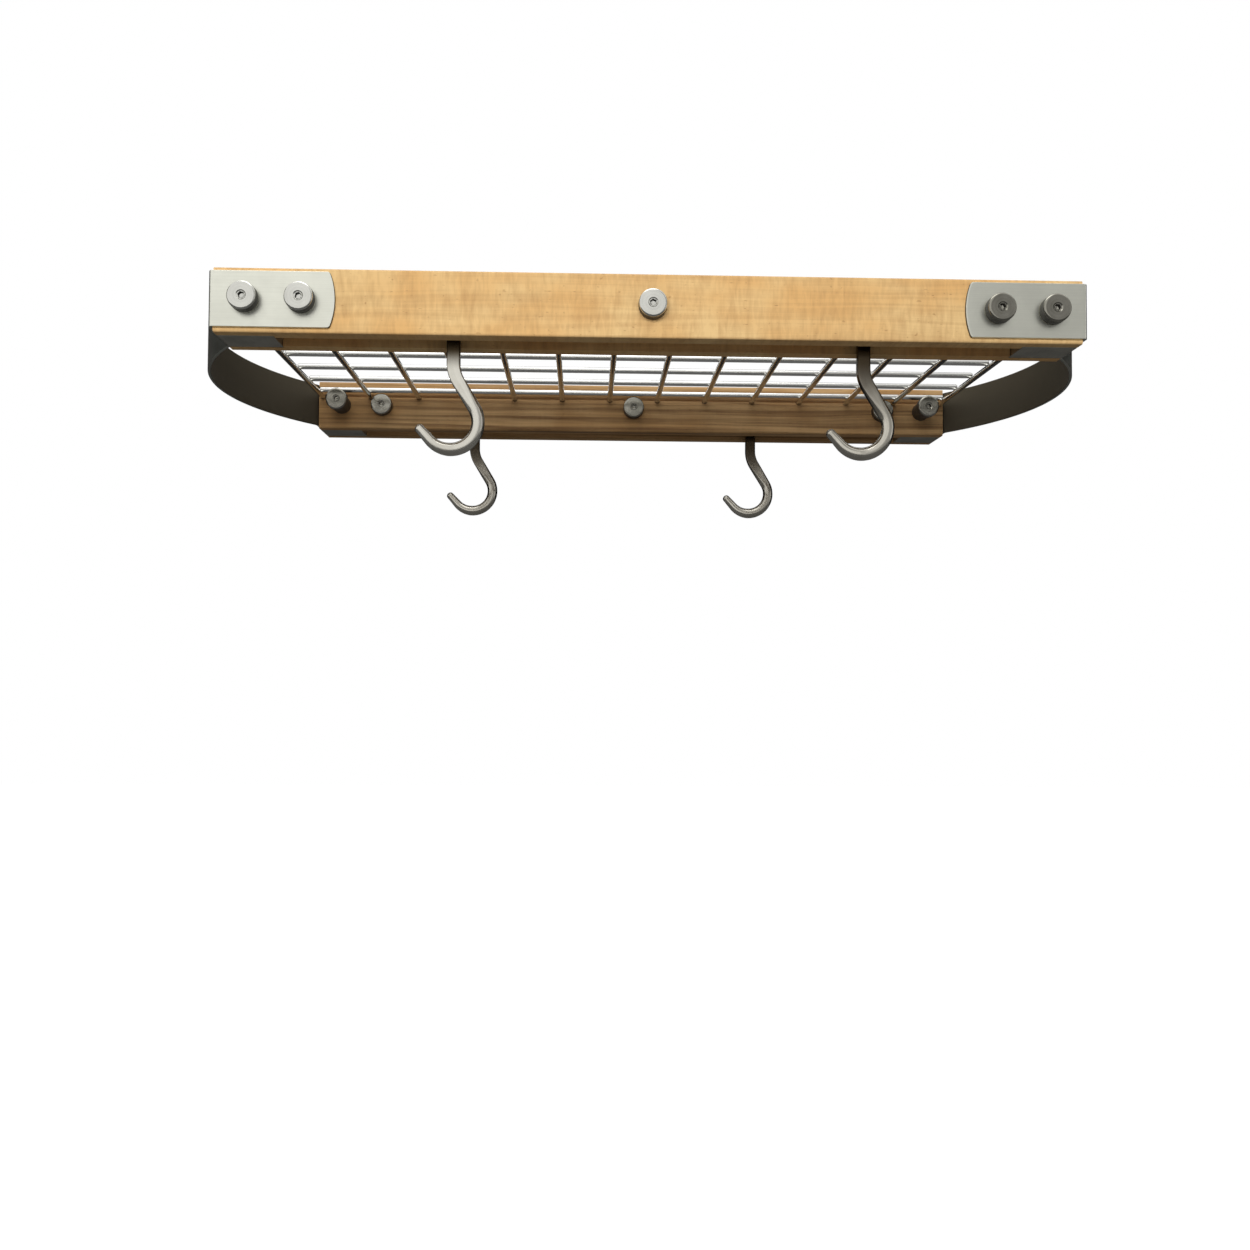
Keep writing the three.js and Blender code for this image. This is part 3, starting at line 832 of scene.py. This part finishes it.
@dataclass
class WireShelf:
    """The welded grid of round wires between the rails."""

    diameter: float = 0.005
    tip_radius: float = 0.0012
    pitch: float = 0.046
    cross_count: int = 14
    long_count: int = 7
    columns: int = 24
    weld_radius: float = 0.0019
    weld_height: float = 0.0011
    weld_rings: int = 6
    weld_columns: int = 8
    weld_lay: float = 0.001
    weld_girth: float = 0.01
    long_past_cross: float = 0.0012
    finish: Steel = Steel("wire_steel", Lay.ALONG, colour=(0.80, 0.795, 0.765), tint=(0.68, 0.675, 0.64),
                          roughness=0.17, line_pitch=0.0012, line_depth=0.000006, smudge=0.06)

    def wire(self, length: float) -> tuple[np.ndarray, np.ndarray, np.ndarray]:
        """A round wire about the first axis, with rounded tips.

        The radius at each row follows a quarter circle at the tips and is constant between.

        Args:
            length: Its length.

        Returns:
            The distance along, the two coordinates across as one array, and the plane grid.
        """
        r, t = self.diameter / 2.0, self.tip_radius
        quarter = np.linspace(0.0, QUARTER_TURN, 5)
        rise = np.concatenate([[0.0], r - t + t * np.sin(quarter)])
        start = np.concatenate([[0.0], t - t * np.cos(quarter)]) - length / 2.0
        middle = np.linspace(start[-1], -start[-1], 12)[1:-1]
        along = np.concatenate([start, middle, -start[::-1]])
        radius = np.concatenate([rise, np.full(len(middle), r), rise[::-1]])
        angle = np.arange(self.columns) / self.columns * 2.0 * HALF_TURN
        across = radius[:, None, None] * np.stack([np.cos(angle), np.sin(angle)], axis=1)[None]
        return along, across, closed_uv(along, self.columns, math.pi * self.diameter)

    def weld(self, x: float, y: float, z: float) -> Surface:
        """A flattened bead where two wires meet, an ellipsoid of revolution.

        Args:
            x: Its centre along the rails.
            y: Its centre across them.
            z: Its height.

        Returns:
            The bead.
        """
        rings, columns = self.weld_rings, self.weld_columns
        rise = np.linspace(-QUARTER_TURN, QUARTER_TURN, rings)[:, None]
        angle = (np.arange(columns) / columns * 2.0 * HALF_TURN)[None]
        ring = self.weld_radius * np.cos(rise)
        height = np.broadcast_to(self.weld_height * np.sin(rise), (rings, columns))
        points = np.stack([ring * np.cos(angle), ring * np.sin(angle), height], axis=-1) + (x, y, z)
        return Surface(points, closed_uv(np.arange(rings) * self.weld_lay, columns, self.weld_girth))

    def build(self) -> None:
        """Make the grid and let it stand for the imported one."""
        low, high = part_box("wire_grid")
        r = self.diameter / 2.0
        middle_y = (low.y + high.y) / 2.0
        cross_x = (np.arange(self.cross_count) - (self.cross_count - 1) / 2.0) * self.pitch
        long_y = (np.arange(self.long_count) - (self.long_count - 1) / 2.0) * self.pitch + middle_y
        cross_z, long_z = low.z + r, high.z - r
        surfaces = []
        along, across, uv = self.wire(high.y - low.y)
        for x in cross_x:
            length = np.broadcast_to(middle_y + along[:, None], across.shape[:2])
            points = np.stack([x + across[:, :, 0], length, cross_z + across[:, :, 1]], axis=-1)
            surfaces.append(Surface(points, uv + (x, 0.0)))
        along, across, uv = self.wire(cross_x[-1] - cross_x[0] + 2.0 * self.long_past_cross)
        for y in long_y:
            length = np.broadcast_to(along[:, None], across.shape[:2])
            points = np.stack([length, y + across[:, :, 0], long_z + across[:, :, 1]], axis=-1)
            surfaces.append(Surface(points, uv + (y, 0.0)))
        meet = (cross_z + long_z) / 2.0
        surfaces += [self.weld(x, y, meet) for x in cross_x for y in long_y]
        piece = make_piece("welded_grid", surfaces)
        stand_in(piece, self.finish.material(), "wire_grid")


# ------------------------------------------------------------------ hooks


@dataclass
class Hooks:
    """The four J hooks, flat where they hang in the slots and round in the curl."""

    width: float = 0.0095
    shank_thickness: float = 0.0065
    shank_edge: float = 0.0012
    curl_radius: float = 0.0195
    drop: float = 0.0798
    curl_offset: float = -0.0018
    slant: float = math.radians(31.0)
    bend_radius: float = 0.026
    sweep: float = math.radians(138.0)
    tip_length: float = 0.011
    tip_width: float = 0.0068
    tip_dome: float = 0.003
    taper_length: float = 0.026
    flat_until: float = 0.0342
    round_from: float = 0.0634
    head_length: float = 0.018
    head_width: float = 0.030
    head_thickness: float = 0.005
    head_edge: float = 0.0008
    head_corner: float = 0.0016
    lip: float = 0.0063
    columns: int = 40
    curl_steps: int = 72
    bend_steps: int = 14
    # The shank's upper end is painted dark as painted shade, where it hangs in the slot.
    finish: Steel = Steel("hook_steel", Lay.ALONG, colour=(0.70, 0.675, 0.60), tint=(0.52, 0.495, 0.43),
                          roughness=0.24, line_pitch=0.0006, line_depth=0.000008, smudge=0.14,
                          dark=PaintedShade.TOP, painted_shade_colour=(0.07, 0.052, 0.03), painted_shade_heights=(-0.020, -0.004))
    # A darker copy with a longer painted shade on the shank, painted shade and painted dark reflection for
    # the other three hooks.
    painted_shade_finish: Steel = replace(finish, name="hook_steel_painted_shade", colour=(0.62, 0.59, 0.515),
                                tint=(0.36, 0.335, 0.28), roughness=0.20,
                                painted_shade_colour=(0.06, 0.045, 0.028), painted_shade_heights=(-0.055, -0.008))

    def centre_line(self) -> np.ndarray:
        """The bar's middle line in (x, z): a shank, a bend, a slanted leg, the curl and the tip.

        The bend and the curl are circular arcs, the leg is their common tangent, and the tip
        runs straight on from the curl's end.

        Returns:
            The points as rows.
        """
        centre_z = -self.drop + self.curl_radius + self.width / 2.0
        start_x = self.curl_offset + self.curl_radius * math.cos(self.slant)
        start_z = centre_z + self.curl_radius * math.sin(self.slant)
        corner_z = start_z + start_x / math.tan(self.slant)
        bend_z = corner_z + self.bend_radius * math.tan(self.slant / 2.0)
        top = self.lip + self.head_thickness / 2.0
        shank = np.stack([np.zeros(9), np.linspace(top, bend_z, 9)], axis=1)
        bend = arc(self.bend_radius, bend_z, self.bend_radius, HALF_TURN, HALF_TURN + self.slant,
                   self.bend_steps)
        curl = arc(self.curl_offset, centre_z, self.curl_radius, self.slant, -self.sweep, self.curl_steps)
        leg = bend[-1] + (curl[0] - bend[-1]) * np.linspace(0.0, 1.0, 10)[1:-1, None]
        way = np.array([-math.sin(self.sweep), -math.cos(self.sweep)])
        tip = curl[-1] + way * np.linspace(0.0, self.tip_length, 13)[1:, None]
        return np.concatenate([shank, bend[1:], leg, curl, tip])

    def bar(self) -> Surface:
        """The bar: a section that passes from a flat bar to a round one along the middle line.

        The share of roundness eases with the distance along, as 3 s squared less 2 s cubed.
        The bar narrows in proportion to the distance over the taper, and it ends in a dome,
        whose height follows the sine and whose width the cosine.

        Returns:
            The bar's surface.
        """
        line = self.centre_line()
        ahead = np.gradient(line, axis=0)
        ahead /= np.linalg.norm(ahead, axis=1)[:, None]
        along = lengths_along(line)
        rise = np.linspace(0.0, QUARTER_TURN, 10)[1:]
        tip = line[-1] + ahead[-1] * (self.tip_dome * np.sin(rise))[:, None]
        line = np.concatenate([line[:1], line, tip])
        ahead = np.concatenate([ahead[:1], ahead, np.repeat(ahead[-1:], len(rise), axis=0)])
        along = np.concatenate([along[:1], along, along[-1] + self.tip_dome * np.sin(rise)])
        taper = np.clip(1.0 - (along[-len(rise) - 1] - along) / self.taper_length, 0.0, 1.0)
        scale = 1.0 + (self.tip_width / self.width - 1.0) * taper
        scale[0] = 0.0
        scale[-len(rise):] *= np.cos(rise)
        share = np.clip((along - self.flat_until) / (self.round_from - self.flat_until), 0.0, 1.0)
        share = share**2 * (3.0 - 2.0 * share)
        half = self.width / 2.0
        thick = self.shank_thickness / 2.0 + (half - self.shank_thickness / 2.0) * share
        edge = np.minimum(self.shank_edge + (half - self.shank_edge) * share, thick)
        across, through = rounded_section(np.full(len(line), half), thick, edge, self.columns)
        across, through = across * scale[:, None], through * scale[:, None]
        points = np.stack([line[:, :1] - ahead[:, 1:] * across, through,
                           line[:, 1:] + ahead[:, :1] * across], axis=-1)
        return Surface(points, closed_uv(along, self.columns, math.pi * self.width))

    def head(self) -> Surface:
        """The flat head that rides on the slot's lips, a rounded rectangle with eased rims.

        Returns:
            The head's surface.
        """
        e, t = self.head_edge, self.head_thickness
        quarter = np.linspace(0.0, QUARTER_TURN, 4)
        inset = np.concatenate([[0.0], e - e * np.sin(quarter), e - e * np.cos(quarter), [0.0]])
        height = np.concatenate([[0.0], e - e * np.cos(quarter), t - e + e * np.sin(quarter), [t]])
        inset[0] = inset[-1] = self.head_length / 2.0
        half_length = np.maximum(self.head_length / 2.0 - inset, 0.0)
        half_width = np.maximum(self.head_width / 2.0 - inset, 0.0)
        radius = np.minimum(self.head_corner, half_length)
        across, through = rounded_section(half_length, half_width, radius, self.columns)
        level = np.broadcast_to((height + self.lip)[:, None], across.shape)
        girth = 2.0 * (self.head_length + self.head_width)
        return Surface(np.stack([across, through, level], axis=-1), closed_uv(height, self.columns, girth))

    def build(self) -> None:
        """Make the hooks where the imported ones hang."""
        bright, dim = self.finish.material(), self.painted_shade_finish.material()
        for row in ROWS:
            for side in ENDS:
                node = f"{row}_{side}_hook"
                low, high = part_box(node)
                surfaces = [self.bar(), self.head()]
                across = surfaces[0].points[:, :, 0]
                x = (high.x + low.x - across.max() - across.min()) / 2.0
                place = np.array([x, (low.y + high.y) / 2.0, 0.0])
                for surface in surfaces:
                    surface.points += place
                piece = make_piece(f"{row}_{side}_j_hook", surfaces)
                even_shading(piece)
                # Only the front left hook keeps the bright finish; the other three get the darker copy,
                # painted shade and painted dark reflection.
                material = bright if node == "front_left_hook" else dim
                stand_in(piece, material, node, f"{node}_body")


# ------------------------------------------------------------------ fasteners


@dataclass
class Fasteners:
    """The socket-head bolts, the sleeves under two of them and the threaded inserts."""

    head_diameter: float = 0.020
    head_height: float = 0.009
    head_edge: float = 0.0017
    sink_diameter: float = 0.007
    sink_depth: float = 0.0007
    socket_flats: float = 0.004
    socket_depth: float = 0.0045
    socket_point: float = 0.0006
    socket_rim: float = 0.0003
    head_foot: float = 0.0004
    shank_diameter: float = 0.0064
    shank_tip: float = 0.0006
    sleeve_bore: float = 0.0035
    sleeve_edge: float = 0.0005
    girth: float = 0.06
    columns: int = 72
    turns: tuple[float, ...] = (0.2, 0.7, 0.4, 0.95, 0.1, 0.55, 0.85, 0.3, 0.6, 0.05)
    # The heads' sides are painted dark as painted shade.
    finish: Steel = Steel("bolt_steel", Lay.ROUND, colour=(0.70, 0.695, 0.64), tint=(0.54, 0.535, 0.49),
                          roughness=0.22, line_pitch=0.0005, line_depth=0.00001, smudge=0.08,
                          dark=PaintedShade.SIDES)
    # A darker copy of the bolt steel, painted shade and painted dark reflection.
    painted_shade_finish: Steel = replace(finish, name="dim_bolt_steel", colour=(0.40, 0.385, 0.335),
                                tint=(0.20, 0.19, 0.155), roughness=0.17)

    def revolved(self, radii: np.ndarray, depths: np.ndarray, hexagon: np.ndarray) -> Surface:
        """Turn a profile about the Y axis, with some rows hexagonal.

        A hexagonal row's radius is that of the inner circle divided by the cosine of the
        angle from the nearest flat's middle.

        Args:
            radii: The radius of each row, on the flats where it is hexagonal.
            depths: How far each row lies towards +Y.
            hexagon: 1 for a hexagonal row and 0 for a round one.

        Returns:
            The surface about the Y axis.
        """
        angle = np.arange(self.columns) / self.columns * 2.0 * HALF_TURN
        from_flat = np.mod(angle, HALF_TURN / 3.0) - HALF_TURN / 6.0
        stretch = 1.0 + (1.0 / np.cos(from_flat) - 1.0)[None] * hexagon[:, None]
        reach = radii[:, None] * stretch
        points = np.stack([reach * np.cos(angle), np.broadcast_to(depths[:, None], reach.shape),
                           reach * np.sin(angle)], axis=-1)
        along = lengths_along(np.stack([radii, depths], axis=1))
        return Surface(points, closed_uv(along, self.columns, self.girth))

    def bolt(self, length: float) -> Surface:
        """A bolt with its head's face at y = 0 and a countersunk hexagon socket.

        Args:
            length: Its whole length.

        Returns:
            The bolt's surface about the Y axis.
        """
        r, e, d = self.head_diameter / 2.0, self.head_edge, self.sink_depth
        s, k, shank = self.socket_flats / 2.0, self.sink_diameter / 2.0, self.shank_diameter / 2.0
        c, foot, tip = self.socket_rim, self.head_foot, self.shank_tip
        quarter = np.linspace(0.0, QUARTER_TURN, 8)
        inner = [(0.0, self.socket_depth + self.socket_point, 0.0), (s, self.socket_depth, 1.0),
                 (s, d + c, 1.0), (s + c, d, 1.0), (k - d, d, 0.0), (k, 0.0, 0.0), (k + c, 0.0, 0.0)]
        rim = [(r - e + e * math.sin(a), e - e * math.cos(a), 0.0) for a in quarter]
        under = [(r, self.head_height - foot, 0.0), (r - foot, self.head_height, 0.0),
                 (shank, self.head_height, 0.0), (shank, length - tip, 0.0), (shank - tip, length, 0.0),
                 (0.0, length, 0.0)]
        rows = np.array(inner + rim + under)
        return self.revolved(rows[:, 0], rows[:, 1], rows[:, 2])

    def sleeve(self, diameter: float, length: float) -> Surface:
        """A plain sleeve with eased rims and a bore, a closed profile turned about Y.

        Args:
            diameter: Its outer diameter.
            length: Its length.

        Returns:
            The sleeve's surface about the Y axis.
        """
        r, b, e = diameter / 2.0, self.sleeve_bore, self.sleeve_edge
        quarter = np.linspace(0.0, QUARTER_TURN, 5)
        rows = np.concatenate([
            [[b, 0.0]],
            np.stack([r - e + e * np.sin(quarter), e - e * np.cos(quarter)], axis=1),
            np.stack([r - e + e * np.cos(quarter), length - e + e * np.sin(quarter)], axis=1),
            [[b, length], [b, 0.0]],
        ])
        return self.revolved(rows[:, 0], rows[:, 1], np.zeros(len(rows)))

    def build(self) -> None:
        """Make the bolts and sleeves and dress the inserts."""
        bright, dim = self.finish.material(), self.painted_shade_finish.material()
        places = ("left_outer", "left_inner", "middle", "right_inner", "right_outer")
        nodes = [f"{row}_bolt_{place}" for row in ROWS for place in places]
        for node, turn in zip(nodes, self.turns):
            low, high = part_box(node)
            surface = self.bolt(high.y - low.y)
            spin = np.array(Matrix.Rotation(turn * HALF_TURN / 3.0, 3, "Y"))
            surface.points = surface.points @ spin.T + front_centre(node)
            piece = make_piece(node.replace("bolt", "socket_bolt"), [surface])
            even_shading(piece)
            # The rear and right bolts get the darker copy, painted shade and painted dark reflection.
            stand_in(piece, dim if "rear" in node or "right" in node else bright, node)
        # The sleeves and the inserts also get the darker copy, painted shade.
        for side in ENDS:
            node = f"rear_sleeve_{side}"
            low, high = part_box(node)
            surface = self.sleeve(high.z - low.z, high.y - low.y)
            surface.points += front_centre(node)
            piece = make_piece(f"rear_spacer_{side}", [surface])
            even_shading(piece)
            stand_in(piece, dim, node)
        for row in ROWS:
            for place in places:
                dress_node(f"{row}_insert_{place}", dim)


# ------------------------------------------------------------------ studio


@dataclass(frozen=True)
class Lamp:
    """A soft rectangular lamp that points at a target."""

    name: str
    place: Place
    target: Place
    width: float
    height: float
    power: float
    in_metal: bool = True

    def build(self) -> None:
        """Hang the lamp."""
        light = bpy.data.lights.new(self.name, "AREA")
        light.shape = "RECTANGLE"
        light.size = self.width
        light.size_y = self.height
        light.energy = self.power
        lamp = bpy.data.objects.new(self.name, light)
        bpy.context.scene.collection.objects.link(lamp)
        lamp.location = self.place
        way = Vector(self.target) - Vector(self.place)
        lamp.rotation_euler = way.to_track_quat("-Z", "Y").to_euler()
        lamp.visible_glossy = self.in_metal


@dataclass(frozen=True)
class Board:
    """A flat dim board beside the set that only mirrors in metal, and so draws its edges."""

    name: str
    centre: Place
    first: Place
    second: Place
    level: float

    def build(self) -> None:
        """Put the board up: its corners are the centre plus or minus its two half sides."""
        sides = np.array([-1.0, 1.0])
        points = (np.array(self.centre) + sides[:, None, None] * np.array(self.first)
                  + sides[None, :, None] * np.array(self.second))
        flat = np.stack(np.meshgrid([0.0, 1.0], [0.0, 1.0], indexing="ij"), axis=-1)
        board = make_piece(self.name, [Surface(points, flat, closed=False)])
        material, graph = new_material(self.name)
        graph.surface(graph.node("ShaderNodeEmission", None, {"Strength": self.level}))
        board.data.materials.append(material)
        board.visible_camera = False
        board.visible_diffuse = False
        board.visible_shadow = False
        board.visible_transmission = False


@dataclass
class Studio:
    """A pale floor, soft light and the camera that looks up at the rack."""

    floor_height: float = -1.0
    floor_size: float = 14.0
    floor_glow: float = 0.84
    floor_seen: Colour = (0.7, 0.7, 0.7)
    floor_shed: Colour = (0.10, 0.09, 0.08)
    camera_place: Place = (-0.0454, -1.2569, -0.2301)
    yaw: float = 0.03199
    pitch: float = 0.0355
    roll: float = 0.00606
    lens: float = 36.0
    sensor: float = 36.0
    world_level: float = 0.25
    lamps: tuple[Lamp, ...] = (
        Lamp("key", (-0.15, -1.75, 0.22), (0.0, -0.35, 0.0), 0.9, 0.45, 17.0, in_metal=False),
        Lamp("top", (-0.2, -0.5, 1.5), (0.0, -0.25, 0.0), 1.3, 0.9, 9.0),
        Lamp("low", (0.0, -0.9, -0.9), (0.0, -0.3, 0.0), 1.2, 0.6, 1.8, in_metal=False),
    )
    boards: tuple[Board, ...] = (
        Board("dark_board_behind", (0.0, 1.2, 0.4), (3.5, 0.0, 0.0), (0.0, 0.0, 1.6), 0.012),
        Board("dark_board_right", (2.4, -2.0, 0.5), (1.9, 0.0, 0.0), (0.0, 0.0, 1.6), 0.46),
        Board("dark_board_far_left", (-2.3, 0.4, 0.4), (0.0, 1.0, 0.0), (0.0, 0.0, 1.4), 0.012),
        Board("dark_board_far_right", (2.3, 0.4, 0.4), (0.0, 1.0, 0.0), (0.0, 0.0, 1.4), 0.012),
        Board("dark_board_below", (0.0, 0.0, -0.65), (3.5, 0.0, 0.0), (0.0, 2.4, 0.0), 0.14),
    )

    def camera(self) -> None:
        """Set up the camera from its place, yaw, pitch and roll."""
        data = bpy.data.cameras.new("camera")
        data.sensor_width = self.sensor
        data.lens = self.lens
        camera = bpy.data.objects.new("camera", data)
        bpy.context.scene.collection.objects.link(camera)
        level = math.cos(self.pitch)
        forward = Vector((math.sin(self.yaw) * level, math.cos(self.yaw) * level, math.sin(self.pitch)))
        right = Vector((math.cos(self.yaw), -math.sin(self.yaw), 0.0))
        up = right.cross(forward)
        right, up = (right * math.cos(self.roll) + up * math.sin(self.roll),
                     up * math.cos(self.roll) - right * math.sin(self.roll))
        turn = Matrix((right, up, -forward)).transposed().to_4x4()
        camera.matrix_world = Matrix.Translation(self.camera_place) @ turn
        bpy.context.scene.camera = camera

    def seen(self, graph: Graph) -> Signal:
        """1 for the rays that show a background: the camera's, and those in metal and glass."""
        paths = graph.node("ShaderNodeLightPath").outputs
        glossy = Signal(graph, paths["Is Glossy Ray"])
        clear = Signal(graph, paths["Is Transmission Ray"])
        return Signal(graph, paths["Is Camera Ray"]).highest(glossy).highest(clear)

    def world(self) -> None:
        """A white surround for the eye and a softer one for the light it sheds."""
        world = bpy.data.worlds.new("surround")
        world.use_nodes = True
        graph = Graph(world.node_tree)
        level = self.seen(graph) * (1.0 - self.world_level) + self.world_level
        white = {"Color": (1.0, 1.0, 1.0, 1.0), "Strength": level}
        background = graph.node("ShaderNodeBackground", None, white)
        output = graph.node("ShaderNodeOutputWorld")
        graph.tree.links.new(background.outputs[0], output.inputs[0])
        bpy.context.scene.world = world

    def floor(self) -> None:
        """A pale floor that takes the shadow and sheds little light back up."""
        half = self.floor_size / 2.0
        steps = np.linspace(-half, half, 3)
        x, y = np.meshgrid(steps, steps, indexing="ij")
        points = np.stack([x, y, np.full_like(x, self.floor_height)], axis=-1)
        floor = make_piece("floor", [Surface(points, np.stack([x, y], axis=-1), closed=False)])
        material, graph = new_material("pale_floor")
        seen = self.seen(graph)
        colour = graph.blend(seen, self.floor_shed, self.floor_seen)
        diffuse = graph.node("ShaderNodeBsdfDiffuse", None, {"Color": colour})
        glow = graph.node("ShaderNodeEmission", None, {"Strength": seen * self.floor_glow})
        both = graph.node("ShaderNodeAddShader")
        graph.tree.links.new(diffuse.outputs[0], both.inputs[0])
        graph.tree.links.new(glow.outputs[0], both.inputs[1])
        graph.surface(both)
        floor.data.materials.append(material)

    def build(self) -> None:
        """Set up the floor, the surround, the lamps, the boards and the camera."""
        self.camera()
        self.world()
        self.floor()
        for piece in (*self.lamps, *self.boards):
            piece.build()
        bpy.context.scene.view_settings.view_transform = "Standard"
        log.info("studio ready")


@dataclass
class PotRack:
    """The whole rack."""

    woodwork: Woodwork = field(default_factory=Woodwork)
    straps: SideStraps = field(default_factory=SideStraps)
    shelf: WireShelf = field(default_factory=WireShelf)
    hooks: Hooks = field(default_factory=Hooks)
    fasteners: Fasteners = field(default_factory=Fasteners)

    def build(self) -> None:
        """Build the sub-assemblies in order."""
        for part in (self.woodwork, self.straps, self.shelf, self.hooks, self.fasteners):
            log.info("building: %s", type(part).__name__)
            part.build()


def main() -> None:
    """Build the studio and the rack."""
    logging.basicConfig(level=logging.INFO, format="%(message)s")
    Studio().build()
    PotRack().build()


if __name__ == "__main__":
    main()
